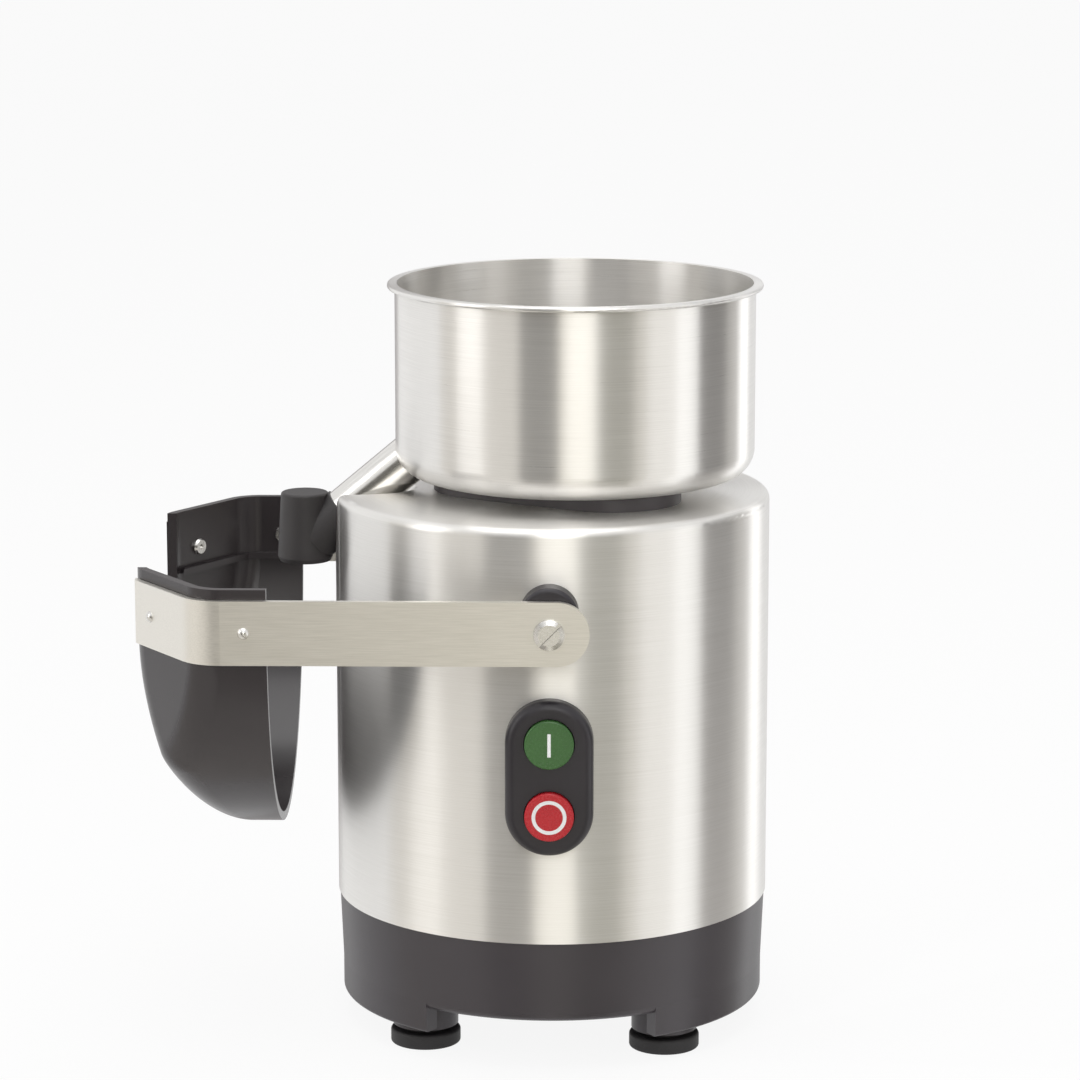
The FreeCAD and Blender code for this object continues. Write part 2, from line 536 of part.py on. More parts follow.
pieces.append(joined("stator_windings", "Part::Compound", [turned(f"winding_{n}", [
    ("winding_inner", "0"), ("winding_outer", "0"), ("winding_outer", "winding_height - winding_round"),
    ("winding_outer - winding_round", "winding_height", "winding_round"),
    ("winding_inner + winding_round", "winding_height"),
    ("winding_inner", "winding_height - winding_round", "winding_round")], "shaft_x", "0", z, turn)
    for n, (z, turn) in enumerate(((core_top, None), (core_bottom, down)))]))
bearing_low = f"({motor_top} - bearing_lip - bearing_width)"
for name, low in (("upper_bearing", bearing_low), ("lower_bearing", f"{motor_bottom} + bearing_lip")):
    pieces.append(ring(name, "journal_radius + run_gap", "bearing_radius", low, "bearing_width"))
step = f"({hub_top} + shaft_step)"
pieces.append(turned("drive_shaft", [
    ("0", shaft_end), ("journal_radius - 0.5", shaft_end), ("journal_radius", f"{shaft_end} + 0.5"),
    ("journal_radius", f"{fan_top} - fan_height - clip_width"),
    ("journal_radius - clip_groove", f"{fan_top} - fan_height - clip_width"),
    ("journal_radius - clip_groove", f"{fan_top} - fan_height"), ("journal_radius", f"{fan_top} - fan_height"),
    ("journal_radius", f"{ceiling} - fit_gap"), ("shaft_root_radius", f"{ceiling} - fit_gap"),
    ("shaft_root_radius", step), ("shaft_radius", step), ("shaft_radius", f"{shaft_top} - shaft_chamfer"),
    ("shaft_radius - shaft_chamfer", shaft_top), ("0", shaft_top)], "shaft_x"))
pieces.append(ring("rotor", "journal_radius + fit_gap", "core_bore - air_gap", core_bottom, "core_height"))
pieces.append(turned("fan_clip", [
    ("journal_radius - clip_groove + fit_gap", "fit_gap"), ("clip_radius", "fit_gap"),
    ("clip_radius", "clip_width - fit_gap"), ("journal_radius - clip_groove + fit_gap", "clip_width - fit_gap")],
    "shaft_x", "0", f"{fan_top} - fan_height - clip_width"))
fan_form = [ring("fan_hub", "journal_radius + fit_gap", "fan_hub_radius", f"{fan_top} - fan_height", "fan_height"),
            ring("fan_disc", "fan_hub_radius - 1", "fan_radius", f"{fan_top} - fan_plate", "fan_plate")]
for number in range(int(num("fan_blades"))):
    turn = (FreeCAD.Vector(0, 0, 1), number * 360 / num("fan_blades"))
    fan_form.append(padded(f"fan_blade_{number}", "XY_Plane", [
        ("fan_hub_radius - 1", "-fan_blade / 2"), ("fan_radius", "-fan_blade / 2"),
        ("fan_radius", "fan_blade / 2"), ("fan_hub_radius - 1", "fan_blade / 2")], "fan_height - 1", x="shaft_x",
        z=f"{fan_top} - fan_height", turn=turn))
pieces.append(fused("cooling_fan", fan_form))
pieces.append(turned("capacitor", [
    ("0", "0"), ("capacitor_radius", "0"), ("capacitor_radius", "capacitor_height - capacitor_round"),
    ("capacitor_radius - capacitor_round", "capacitor_height", "capacitor_round"), ("0", "capacitor_height")],
    "capacitor_x", "0", f"{tray_bottom} + tray_wall"))

# Control panel on the near side, its buttons and the switch behind them
panel_half = "panel_width / 2"
panel_end = "(panel_height / 2 - panel_width / 2)"
panel_face = "(casing_radius + panel_reach)"
panel_form = padded("panel_form", "XZ_Plane", stadium(panel_half, f"-{panel_end}", panel_end),
                    "panel_reach + casing_radius / 4", "casing_radius * 3 / 4", z="panel_z")
face_y = -num(panel_face)
soft_panel = rounded("soft_panel", panel_form, "panel_edge", lambda e: abs(e.BoundBox.YMax - face_y) < 0.01)
panel_cuts = [rod("panel_seat", "casing_radius + fit_gap", "2 * panel_height", "0", "0", "panel_z - panel_height")]
switch_face = "(sqrt(casing_radius ^ 2 - (switch_width / 2) ^ 2) - free_gap / 2)"
switch_cuts, panel_screws = [], []
for name, side in (("start_button", 1), ("stop_button", -1)):
    z = f"panel_z + {side} * button_spacing / 2"
    panel_cuts.append(rod(name + "_bore", "button_radius + collar_gap", "casing_radius / 2", "0",
                          "-casing_radius * 3 / 4", z, near))
    pieces.append(turned(name, [
        ("0", f"{switch_face} - 6"), ("stem_radius", f"{switch_face} - 6"),
        ("stem_radius", f"{panel_face} + button_proud - button_depth"),
        ("button_radius", f"{panel_face} + button_proud - button_depth"),
        ("button_radius", f"{panel_face} + button_proud - button_edge"),
        ("button_radius - button_edge", f"{panel_face} + button_proud", "button_edge"),
        ("0", f"{panel_face} + button_proud")], "0", "0", z, near))
    switch_cuts.append(rod(name + "_guide", "stem_radius + collar_gap", "7 + 2 * button_travel", "0",
                           f"-({switch_face}) + 6.5 + 1.5 * button_travel", z, near))
    z = f"panel_z + {side} * panel_screw_pitch"
    panel_screws.append(screw(f"panel_screw_{name}", "panel_screw_radius", "panel_screw_bite", "panel_screw_head",
                              "panel_head_depth", "0", f"-{casing_inner} + fit_gap", z, far))
    panel_cuts.append(rod(f"panel_pilot_{name}", "panel_screw_radius + fit_gap", "panel_screw_bite + 1", "0",
                          f"-{casing_inner}", z, near))
pieces.append(cut("control_panel", soft_panel, panel_cuts))
pieces.append(joined("panel_screws", "Part::Compound", panel_screws))
half = "switch_width / 2"
switch_form = padded("switch_form", "XZ_Plane", [
    (f"-{half}", "-switch_height / 2"), (half, "-switch_height / 2"), (half, "switch_height / 2"),
    (f"-{half}", "switch_height / 2")], "switch_depth", f"{switch_face} - switch_depth", z="panel_z")
pieces.append(cut("switch_block", switch_form, switch_cuts))

# Pivots on both sides and the swing-away guard with its strap arms
washers, nuts, arms, bushes = [], [], [], []
for name, side, turn in (("left", -1, near), ("right", 1, far)):
    flip = "-" if side < 0 else ""
    outline_corners = stadium("boss_radius", "0", "boss_lift")
    lift = "casing_radius * 3 / 4" if side < 0 else "-boss_face"
    form = padded(f"boss_form_{name}", "XZ_Plane", outline_corners, "boss_reach + casing_radius / 4", lift, z="pivot_z")
    face = side * num("boss_face")
    soft = rounded(f"soft_boss_{name}", form, "boss_edge", lambda e: abs(e.BoundBox.YMin - face) < 0.01
                   and e.BoundBox.YLength < 0.01)
    pieces.append(cut(f"pivot_boss_{name}", soft, [
        rod(f"boss_seat_{name}", "casing_radius + fit_gap", "4 * boss_radius + boss_lift", "0", "0",
            "pivot_z - 2 * boss_radius"),
        rod(f"boss_bore_{name}", "pivot_radius + fit_gap", "casing_radius", "0", f"{flip}casing_radius / 2",
            "pivot_z", turn)]))
    shank = "strap_out + run_gap - casing_radius + casing_wall + pivot_nut_depth + 1"
    head = screw(f"screw_form_{name}", "pivot_radius", shank, "pivot_head_radius", "pivot_head_depth", "0",
                 f"{flip}(strap_out + run_gap)", "pivot_z", turn)
    slit = padded(f"screw_slot_{name}", "XY_Plane", [
        ("-2 * pivot_head_radius", "-slot_width / 2"), ("2 * pivot_head_radius", "-slot_width / 2"),
        ("2 * pivot_head_radius", "slot_width / 2"), ("-2 * pivot_head_radius", "slot_width / 2")],
        "slot_depth + 1", "pivot_head_depth - slot_depth", y=f"{flip}(strap_out + run_gap)", z="pivot_z",
        turn=(FreeCAD.Rotation(*turn) * FreeCAD.Rotation(FreeCAD.Vector(0, 0, 1), 45)).Q)
    pieces.append(cut(f"pivot_screw_{name}", head, [slit]))
    washers.append(turned(f"pivot_washer_{name}", [
        ("pivot_radius + fit_gap", "0"), ("washer_radius", "0"), ("washer_radius", "washer_width - run_gap"),
        ("pivot_radius + fit_gap", "washer_width - run_gap")], "0", f"{flip}boss_face", "pivot_z", turn))
    nut_seat = f"sqrt({casing_inner} ^ 2 - pivot_nut_radius ^ 2)"
    nuts.append(turned(f"pivot_nut_{name}", [
        ("pivot_radius + fit_gap", "-pivot_nut_depth"), ("pivot_nut_radius", "-pivot_nut_depth"),
        ("pivot_nut_radius", "0"), ("pivot_radius + fit_gap", "0")], "0", f"{flip}({nut_seat} - fit_gap)", "pivot_z", turn))
    pieces.append(turned(f"pivot_bush_{name}", [
        ("pivot_radius + run_gap", "0"), ("pivot_radius + bush_wall", "0"),
        ("pivot_radius + bush_wall", "strap_width"), ("pivot_radius + run_gap", "strap_width")],
        "0", f"{flip}strap_in", "pivot_z", turn))
pieces.append(joined("pivot_washers", "Part::Compound", washers))
pieces.append(joined("pivot_nuts", "Part::Compound", nuts))

chamfer = "atan((guard_radius - guard_front_half) / (guard_front - guard_bend))"


def plan(inset, start, stop=None):
    """Half of the guard's plan from its open edge to its front or a stop, at an inset from its outside."""
    shift = f"({inset}) * tan(({chamfer}) / 2)"
    front = f"guard_front - ({inset})"
    half = f"(guard_front_half + (({inset}) * sin({chamfer}) - ({inset})) / cos({chamfer}))"
    side = f"(guard_radius - ({inset}))"
    bend = f"(guard_bend - {shift})"
    if stop:
        front, half = stop, f"(guard_front_half - ({inset}) / cos({chamfer}))"
    return [(f"-({start})", side), (f"-({bend})", side), (f"-({front})", half)]


def guard_form(label, inset, start, top):
    """Solid inside of the guard's skin: plan, side and end outlines in common."""
    half = plan(inset, start)
    mirrored = [(x, f"-({y})") for x, y in reversed(half)]
    flat = padded(label + "_plan", "XY_Plane", half + mirrored, "3 * guard_radius", "-2 * guard_radius", z="pivot_z")
    bow = f"(guard_bow - ({inset}))"
    low = f"(guard_radius - ({inset}))"
    foot = f"(guard_front - guard_bow + sqrt({bow} ^ 2 - ({low} - guard_bow_drop) ^ 2))"
    front = f"(guard_front - ({inset}))"
    side = padded(label + "_side", "XZ_Plane", [
        (f"-({start})", f"-{low}"), (f"-({start})", top), (f"-{front}", top), (f"-{front}", "-guard_bow_drop"),
        (f"-{foot}", f"-{low}", bow)], "4 * guard_radius", "-2 * guard_radius", z="pivot_z")
    end = padded(label + "_end", "YZ_Plane", [
        (f"-{low}", "0"), (low, "0", low), (low, top), (f"-{low}", top)],
        "2 * guard_front", "-2 * guard_front", z="pivot_z")
    return joined(label, "Part::MultiCommon", [flat, side, end])


def at_bend(edge, level):
    """Is this an upright edge where a strap bends, on its skin at a level from the casing's axis?"""
    upright = edge.BoundBox.ZLength > num("strap_height / 2")
    x = edge.CenterOfMass.x - num("axis_x")
    return upright and abs(abs(edge.CenterOfMass.y) - level) < 0.5 and x < -num("guard_bend") + 1


guard_out = guard_form("guard_outside", "0 * guard_wall", "guard_open", "guard_rise")


def creases(edge):
    """The chamfer bends and the bow's long edges, away from the open edge and the top."""
    box = edge.BoundBox
    x = num("axis_x") - num("guard_open")
    return box.XMax < x - 1 and not (box.ZLength < 0.01 and box.ZMin > num("pivot_z"))


soft_guard = rounded("soft_guard", guard_out, "guard_round", creases)
guard_in = guard_form("guard_inside", "guard_wall", "guard_open - 10", "guard_rise + 10")
soft_inside = rounded("soft_inside", guard_in, "guard_round - guard_wall", creases)
rib_in = guard_form("guard_rib_inside", "guard_wall + rib_depth", "guard_open - 10", "guard_rise + 10")
rib_slab = padded("rib_slab", "XY_Plane", [
    ("-guard_front + 2 * guard_wall", "-guard_radius"), ("-guard_open - 2", "-guard_radius"),
    ("-guard_open - 2", "guard_radius"), ("-guard_front + 2 * guard_wall", "guard_radius")], "rib_height",
    "-rib_drop - rib_height", z="pivot_z")
rib = cut("guard_rib", joined("rib_band", "Part::MultiCommon", [rib_slab, soft_guard]), [rib_in])
shell = fused("guard_shell", [cut("guard_skin", soft_guard, [soft_inside]), rib])
guard_cuts = [padded("guard_slot", "YZ_Plane", [
    ("-guard_slot_half", "-guard_slot_drop"), ("guard_slot_half", "-guard_slot_drop"),
    ("guard_slot_half", "guard_rise + 1"), ("-guard_slot_half", "guard_rise + 1")],
    "guard_front - guard_bend", "-guard_front - 1", z="pivot_z")]
guard_screws, arm_holes = [], []
angle = num(chamfer)
for name, side in (("left", -1), ("right", 1)):
    tail = "strap_height / 2"
    end_x = "strap_tail"
    outer = [(x, f"{side} * ({y})") for x, y in plan("-(strap_gap + strap_width)", f"-{end_x}", "guard_front")]
    inner = [(x, f"{side} * ({y})") for x, y in plan("-strap_gap", f"-{end_x}", "guard_front")]
    band = padded(f"strap_band_{name}", "XY_Plane", outer + inner[::-1], "strap_height", f"-{tail}", z="pivot_z")
    soft_band = band
    for skin, face, bend in (("inner", "strap_in", "guard_round + strap_gap"),
                             ("outer", "strap_out", "guard_round + strap_gap + strap_width")):
        level = num(face)
        soft_band = rounded(f"{skin}_bend_{name}", soft_band, bend, lambda e: at_bend(e, level))
    flip = "-" if side < 0 else ""
    way = near if side < 0 else far
    nose = rod(f"strap_nose_{name}", tail, "strap_width", end_x, f"{flip}strap_in", "pivot_z", way)
    spots = [("-guard_screw_u", "guard_radius", 0)]
    run = "guard_front_screw"
    spots.append((f"-guard_front + {run} * cos({chamfer})", f"guard_front_half + {run} * sin({chamfer})", angle))
    for number, (x, y, lean) in enumerate(spots):
        turn = (FreeCAD.Rotation(FreeCAD.Vector(0, 0, 1), -side * -lean) * FreeCAD.Rotation(*way)).Q
        skin = "(strap_gap + strap_width)"
        guard_screws.append(turned(f"guard_screw_{name}_{number}", [
            ("0", "-guard_wall - guard_head_depth / 2"), ("guard_socket", "-guard_wall - guard_head_depth / 2"),
            ("guard_socket", "-guard_wall - guard_head_depth"),
            ("guard_head_radius - 0.6", "-guard_wall - guard_head_depth"), ("guard_head_radius", "-guard_wall - 1"),
            ("guard_head_radius", "-guard_wall - fit_gap"), ("guard_screw_radius", "-guard_wall - fit_gap"),
            ("guard_screw_radius", skin), ("guard_dome", skin),
            ("0", f"{skin} + guard_dome_height",
             "(guard_dome ^ 2 + guard_dome_height ^ 2) / (2 * guard_dome_height)")],
            x, f"{side} * ({y})", "pivot_z", turn))
        hole = rod(f"guard_way_{name}_{number}", "guard_screw_radius + fit_gap", "40", x,
                   f"{side} * ({y})", "pivot_z", turn)
        back_hole = rod(f"guard_back_{name}_{number}", "guard_screw_radius + fit_gap", "guard_wall + 1", x,
                        f"{side} * ({y})", "pivot_z", (FreeCAD.Rotation(*turn) * FreeCAD.Rotation(*down)).Q)
        guard_cuts += [back_hole]
        arm_holes.append(hole)
    bore = rod(f"strap_bore_{name}", "pivot_radius + bush_wall + fit_gap", "2 * strap_width", "0",
               f"{flip}(strap_in - strap_width / 2)", "pivot_z", way)
    pieces.append(cut(f"guard_arm_{name}", fused(f"strap_{name}", [soft_band, nose]), [bore] + arm_holes[-2:]))
pieces.append(cut("splash_guard", shell, guard_cuts))
pieces.append(joined("guard_screws", "Part::Compound", guard_screws))

# Lift-off bowl with its collar, spout and drip tip
bowl_top = f"({bowl_bottom} + bowl_height)"
collar = "(back_lug_outer + lug_draft + lug_gap)"


def bowl_form(label, inset, top):
    """Solid inside of the bowl's skin, or its outside where the inset is nothing."""
    side = f"(bowl_radius - {inset})"
    low = f"({bowl_bottom} + {inset})"
    bend = f"(bowl_round - {inset})"
    return turned(label, [("0", low), (f"{side} - {bend}", low), (side, f"{low} + {bend}", bend),
                          (side, top), ("0", top)], "shaft_x")


bowl_out = bowl_form("bowl_outside", "0 * bowl_wall", bowl_top)
lip = ring("bowl_lip", "bowl_radius - bowl_wall", "bowl_radius + bowl_rim", f"{bowl_top} - bowl_rim_height",
           "bowl_rim_height")
lip_edge = rounded("soft_lip", lip, "bowl_rim_height * 0.45", lambda e: e.BoundBox.XLength > num("2 * bowl_radius + 1"))
way_x, way_z = up_spout("-20")
spout_way = rod("spout_way", "spout_radius - spout_wall", "40", way_x, "0", way_z, slope)
pieces.append(cut("juice_bowl", fused("bowl_body", [bowl_out, lip_edge]), [
    bowl_form("bowl_inside", "bowl_wall", f"{bowl_top} + 1"), spout_way,
    rod("collar_way", f"{collar} + collar_wall + fit_gap", "4 * bowl_wall", "shaft_x", "0", f"{bowl_bottom} - bowl_wall")]))
pieces.append(turned("bowl_collar", [
    (collar, "0"), (f"{collar} + collar_wall", "0"), (f"{collar} + collar_wall", "collar_height"),
    (f"{collar} - 4", "collar_height"), (f"{collar} - 4", "collar_height - collar_wall"),
    (collar, "collar_height - collar_wall")], "shaft_x", "0", bowl_bottom))
tube = turned("spout_form", [
    ("spout_radius - spout_wall", "0"), ("spout_radius", "0"), ("spout_radius", "spout_reach + 20"),
    ("spout_radius - spout_wall", "spout_reach + 20")], way_x, "0", way_z, slope)
pieces.append(cut("spout_tube", tube, [bowl_form("bowl_block", "0 * bowl_wall", bowl_top)]))

tip_x, tip_z = up_spout("tip_step")
socket_x, socket_z = up_spout("tip_step - tip_socket")
bore_x, bore_z = up_spout("0")
tip_form = turned("tip_form", [
    ("0", "-tip_drop"), ("tip_radius + tip_flare - 1", "-tip_drop"), ("tip_radius + tip_flare", "-tip_drop + 2"),
    ("tip_radius", "tip_top - tip_edge"), ("tip_radius - tip_edge", "tip_top", "tip_edge"), ("0", "tip_top")],
    tip_x, "0", tip_z)
socket = rod("tip_socket_form", "spout_radius + tip_socket_wall", "tip_socket - tip_root", socket_x, "0", socket_z, slope)
mouth_x, mouth_z = up_spout("spout_reach - 0.01")
pieces.append(cut("drip_tip", fused("tip_solid", [tip_form, socket]), [
    rod("tip_bore", "spout_radius + run_gap", "spout_reach + free_gap", bore_x, "0", bore_z, slope),
    rod("tip_throat", "spout_radius - spout_wall", "tip_socket - tip_insert + tip_root / 2", mouth_x, "0", mouth_z, slope),
    rod("tip_outlet", "tip_radius - tip_wall", "tip_drop + 1", tip_x, "0", f"{tip_z} - tip_drop - 1")]))

doc.recompute()
os.makedirs("parts", exist_ok=True)
for item in doc.Objects:
    if "Invalid" in item.State or "Error" in item.State:
        raise RuntimeError(f"{item.Label} is {item.State}")
for piece in pieces:
    if piece.Shape.isNull() or not piece.Shape.isValid() or not piece.Shape.Solids:
        raise RuntimeError(f"{piece.Label} has no valid solid")
    piece.Shape.exportStep(f"parts/{piece.Label}.step")
print(len(pieces), "pieces")
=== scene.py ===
import math
import bmesh
import bpy
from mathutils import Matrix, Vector


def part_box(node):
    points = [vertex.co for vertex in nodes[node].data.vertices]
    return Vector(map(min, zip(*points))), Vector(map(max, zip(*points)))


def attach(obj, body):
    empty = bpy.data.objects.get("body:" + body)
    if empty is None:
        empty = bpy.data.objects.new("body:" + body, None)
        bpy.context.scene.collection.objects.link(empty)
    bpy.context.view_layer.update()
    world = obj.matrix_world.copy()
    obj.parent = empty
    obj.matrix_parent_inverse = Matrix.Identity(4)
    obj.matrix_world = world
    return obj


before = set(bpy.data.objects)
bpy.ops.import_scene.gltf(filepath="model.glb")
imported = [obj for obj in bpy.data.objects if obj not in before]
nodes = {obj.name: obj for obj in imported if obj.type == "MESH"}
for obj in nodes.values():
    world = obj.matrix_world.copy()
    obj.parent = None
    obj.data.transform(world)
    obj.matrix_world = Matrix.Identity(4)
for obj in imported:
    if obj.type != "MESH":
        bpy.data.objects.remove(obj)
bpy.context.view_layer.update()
print("frame loaded:", len(nodes), "nodes")


def middleOf(name):
    low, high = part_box(name)
    return (Vector(low) + Vector(high)) / 2


housingMiddle = middleOf("housing")
shaftMiddle = middleOf("drive_shaft")


def addNode(tree, kind, **sockets):
    node = tree.nodes.new(kind)
    for name, value in sockets.items():
        if hasattr(node, name):
            setattr(node, name, value)
        else:
            node.inputs[name.replace("_", " ")].default_value = value
    return node


def mathNode(tree, operation, first, second=None):
    node = tree.nodes.new("ShaderNodeMath")
    node.operation = operation
    for slot, value in enumerate((first, second)):
        if value is None:
            continue
        if isinstance(value, (int, float)):
            node.inputs[slot].default_value = value
        else:
            tree.links.new(value, node.inputs[slot])
    return node.outputs[0]


# noise behind the brush lines, and how few cells it has the long way round
brushSet = {"round": 2.0, "turned": {"Detail": 3.0, "Roughness": 0.6},
            "straight": {"Detail": 4.0, "Roughness": 0.65}}


# shared effect: fine brush lines that run round an upright axis
def makeRoundBrush():
    group = bpy.data.node_groups.new("roundBrush", "ShaderNodeTree")
    group.interface.new_socket("Axis X", in_out="INPUT", socket_type="NodeSocketFloat")
    group.interface.new_socket("Fine", in_out="INPUT", socket_type="NodeSocketFloat")
    group.interface.new_socket("Grain", in_out="OUTPUT", socket_type="NodeSocketFloat")
    group.interface.new_socket("Angle", in_out="OUTPUT", socket_type="NodeSocketFloat")
    group.interface.new_socket("Radius", in_out="OUTPUT", socket_type="NodeSocketFloat")
    given = group.nodes.new("NodeGroupInput")
    result = group.nodes.new("NodeGroupOutput")
    place = group.nodes.new("ShaderNodeTexCoord")
    parts = group.nodes.new("ShaderNodeSeparateXYZ")
    group.links.new(place.outputs["Object"], parts.inputs[0])
    x = mathNode(group, "SUBTRACT", parts.outputs[0], given.outputs["Axis X"])
    y = parts.outputs[1]
    angle = mathNode(group, "ARCTAN2", y, x)
    squares = mathNode(group, "ADD", mathNode(group, "MULTIPLY", x, x), mathNode(group, "MULTIPLY", y, y))
    radius = mathNode(group, "SQRT", squares)
    joined = group.nodes.new("ShaderNodeCombineXYZ")
    group.links.new(mathNode(group, "MULTIPLY", angle, brushSet["round"]), joined.inputs[0])
    group.links.new(mathNode(group, "MULTIPLY", radius, given.outputs["Fine"]), joined.inputs[1])
    group.links.new(mathNode(group, "MULTIPLY", parts.outputs[2], given.outputs["Fine"]), joined.inputs[2])
    grain = addNode(group, "ShaderNodeTexNoise", Scale=1.0, **brushSet["turned"])
    group.links.new(joined.outputs[0], grain.inputs["Vector"])
    group.links.new(grain.outputs[0], result.inputs["Grain"])
    group.links.new(angle, result.inputs["Angle"])
    group.links.new(radius, result.inputs["Radius"])
    return group


# shared effect: brush lines along one direction, from stretched noise
def makeStraightBrush():
    group = bpy.data.node_groups.new("straightBrush", "ShaderNodeTree")
    group.interface.new_socket("Stretch", in_out="INPUT", socket_type="NodeSocketVector")
    group.interface.new_socket("Grain", in_out="OUTPUT", socket_type="NodeSocketFloat")
    given = group.nodes.new("NodeGroupInput")
    result = group.nodes.new("NodeGroupOutput")
    place = group.nodes.new("ShaderNodeTexCoord")
    scaled = group.nodes.new("ShaderNodeVectorMath")
    scaled.operation = "MULTIPLY"
    group.links.new(place.outputs["Object"], scaled.inputs[0])
    group.links.new(given.outputs["Stretch"], scaled.inputs[1])
    grain = addNode(group, "ShaderNodeTexNoise", Scale=1.0, **brushSet["straight"])
    group.links.new(scaled.outputs[0], grain.inputs["Vector"])
    group.links.new(grain.outputs[0], result.inputs["Grain"])
    return group


roundBrush = makeRoundBrush()
straightBrush = makeStraightBrush()


def startMaterial(name, metallic, rough):
    mat = bpy.data.materials.new(name)
    mat.use_nodes = True
    shader = mat.node_tree.nodes["Principled BSDF"]
    shader.inputs["Metallic"].default_value = metallic
    shader.inputs["Roughness"].default_value = rough
    return mat, mat.node_tree, shader


def rampColour(tree, source, dark, light, low=0.3, high=0.7):
    ramp = tree.nodes.new("ShaderNodeValToRGB")
    ramp.color_ramp.elements[0].position = low
    ramp.color_ramp.elements[1].position = high
    ramp.color_ramp.elements[0].color = (*dark, 1)
    ramp.color_ramp.elements[1].color = (*light, 1)
    tree.links.new(source, ramp.inputs[0])
    return ramp.outputs[0]


noiseSpan = (0.25, 0.75)  # where most of a noise's values lie
bumpDepth = {"steel": 0.0002, "moulded": 0.0003}


def spread(tree, source, low, high):
    node = addNode(tree, "ShaderNodeMapRange")
    node.inputs["From Min"].default_value, node.inputs["From Max"].default_value = noiseSpan
    node.inputs["To Min"].default_value = low
    node.inputs["To Max"].default_value = high
    tree.links.new(source, node.inputs["Value"])
    return node.outputs[0]


def addBump(tree, shader, source, strength, distance):
    bump = addNode(tree, "ShaderNodeBump", Strength=strength, Distance=distance)
    tree.links.new(source, bump.inputs["Height"])
    tree.links.new(bump.outputs[0], shader.inputs["Normal"])


def finishSteel(tree, shader, grain, look):
    tree.links.new(rampColour(tree, grain, look["dark"], look["light"]), shader.inputs["Base Color"])
    tree.links.new(spread(tree, grain, *look["rough"]), shader.inputs["Roughness"])
    addBump(tree, shader, grain, look["bump"], bumpDepth["steel"])


# a fine upright weld line in the outer wall, duller than the brushed steel beside it
def addSeam(tree, shader, brush, seam, metallic):
    away = mathNode(tree, "ABSOLUTE", mathNode(tree, "SUBTRACT", brush.outputs["Angle"], seam["angle"]))
    onWall = mathNode(tree, "GREATER_THAN", brush.outputs["Radius"], seam["wall"])
    line = mathNode(tree, "MULTIPLY", mathNode(tree, "LESS_THAN", away, seam["half"]), onWall)
    dull = addNode(tree, "ShaderNodeMapRange")
    dull.inputs["To Min"].default_value = metallic
    dull.inputs["To Max"].default_value = seam["metallic"]
    tree.links.new(line, dull.inputs["Value"])
    tree.links.new(dull.outputs[0], shader.inputs["Metallic"])


def turnedSteel(name, axisX, look):
    mat, tree, shader = startMaterial(name, look.get("metallic", 1.0), look["rough"][0])
    brush = tree.nodes.new("ShaderNodeGroup")
    brush.node_tree = roundBrush
    brush.inputs["Axis X"].default_value = axisX
    brush.inputs["Fine"].default_value = look["fine"]
    finishSteel(tree, shader, brush.outputs["Grain"], look)
    # the lines run round, so reflections stretch up and down
    shader.inputs["Anisotropic"].default_value = look.get("drawn", 0.0)
    shader.inputs["Anisotropic Rotation"].default_value = 0.25
    around = tree.nodes.new("ShaderNodeTangent")
    around.direction_type = "RADIAL"
    around.axis = "Z"
    tree.links.new(around.outputs[0], shader.inputs["Tangent"])
    if "seam" in look:
        addSeam(tree, shader, brush, look["seam"], look["metallic"])
    return mat


def straightSteel(name, look):
    mat, tree, shader = startMaterial(name, 1.0, look["rough"][0])
    brush = tree.nodes.new("ShaderNodeGroup")
    brush.node_tree = straightBrush
    brush.inputs["Stretch"].default_value = look["stretch"]
    finishSteel(tree, shader, brush.outputs["Grain"], look)
    return mat


# fine grain for the gloss and bump, soft clouds for the colour
mouldSet = {"grain": {"Detail": 3.0, "Roughness": 0.6}, "cloud": {"Detail": 2.0, "Roughness": 0.5}}


def moulded(name, look):
    mat, tree, shader = startMaterial(name, look.get("metallic", 0.0), look["rough"][0])
    place = tree.nodes.new("ShaderNodeTexCoord")
    grain = addNode(tree, "ShaderNodeTexNoise", Scale=look["grain"], **mouldSet["grain"])
    cloud = addNode(tree, "ShaderNodeTexNoise", Scale=look["cloud"], **mouldSet["cloud"])
    for texture in (grain, cloud):
        tree.links.new(place.outputs["Object"], texture.inputs["Vector"])
    colour = rampColour(tree, cloud.outputs[0], look["dark"], look["light"])
    tree.links.new(colour, shader.inputs["Base Color"])
    tree.links.new(spread(tree, grain.outputs[0], *look["rough"]), shader.inputs["Roughness"])
    addBump(tree, shader, grain.outputs[0], look["bump"], bumpDepth["moulded"])
    return mat


casingLook = {"fine": 2800.0, "dark": (0.77, 0.755, 0.725), "light": (0.85, 0.835, 0.81),
              "rough": (0.30, 0.36), "bump": 0.03, "drawn": 0.95,
              "metallic": 0.84,
              "seam": {"angle": -2.897, "half": 0.013, "wall": 0.0985, "metallic": 0.45}}
bowlLook = {"fine": 2800.0, "dark": (0.76, 0.745, 0.72), "light": (0.85, 0.835, 0.81),
            "rough": (0.27, 0.33), "bump": 0.025, "drawn": 0.93,
            "metallic": 0.88}
tubeLook = {"stretch": (60.0, 900.0, 60.0), "dark": (0.68, 0.665, 0.64), "light": (0.80, 0.785, 0.76),
            "rough": (0.16, 0.24), "bump": 0.02}
strapLook = {"stretch": (60.0, 2400.0, 2400.0), "dark": (0.73, 0.71, 0.66), "light": (0.84, 0.815, 0.765),
             "rough": (0.34, 0.46), "bump": 0.06}
shaftLook = {"fine": 900.0, "dark": (0.80, 0.79, 0.78), "light": (0.90, 0.89, 0.88),
             "rough": (0.06, 0.10), "bump": 0.006}
discLook = {"fine": 1500.0, "dark": (0.78, 0.77, 0.76), "light": (0.90, 0.90, 0.89),
            "rough": (0.12, 0.18), "bump": 0.01}
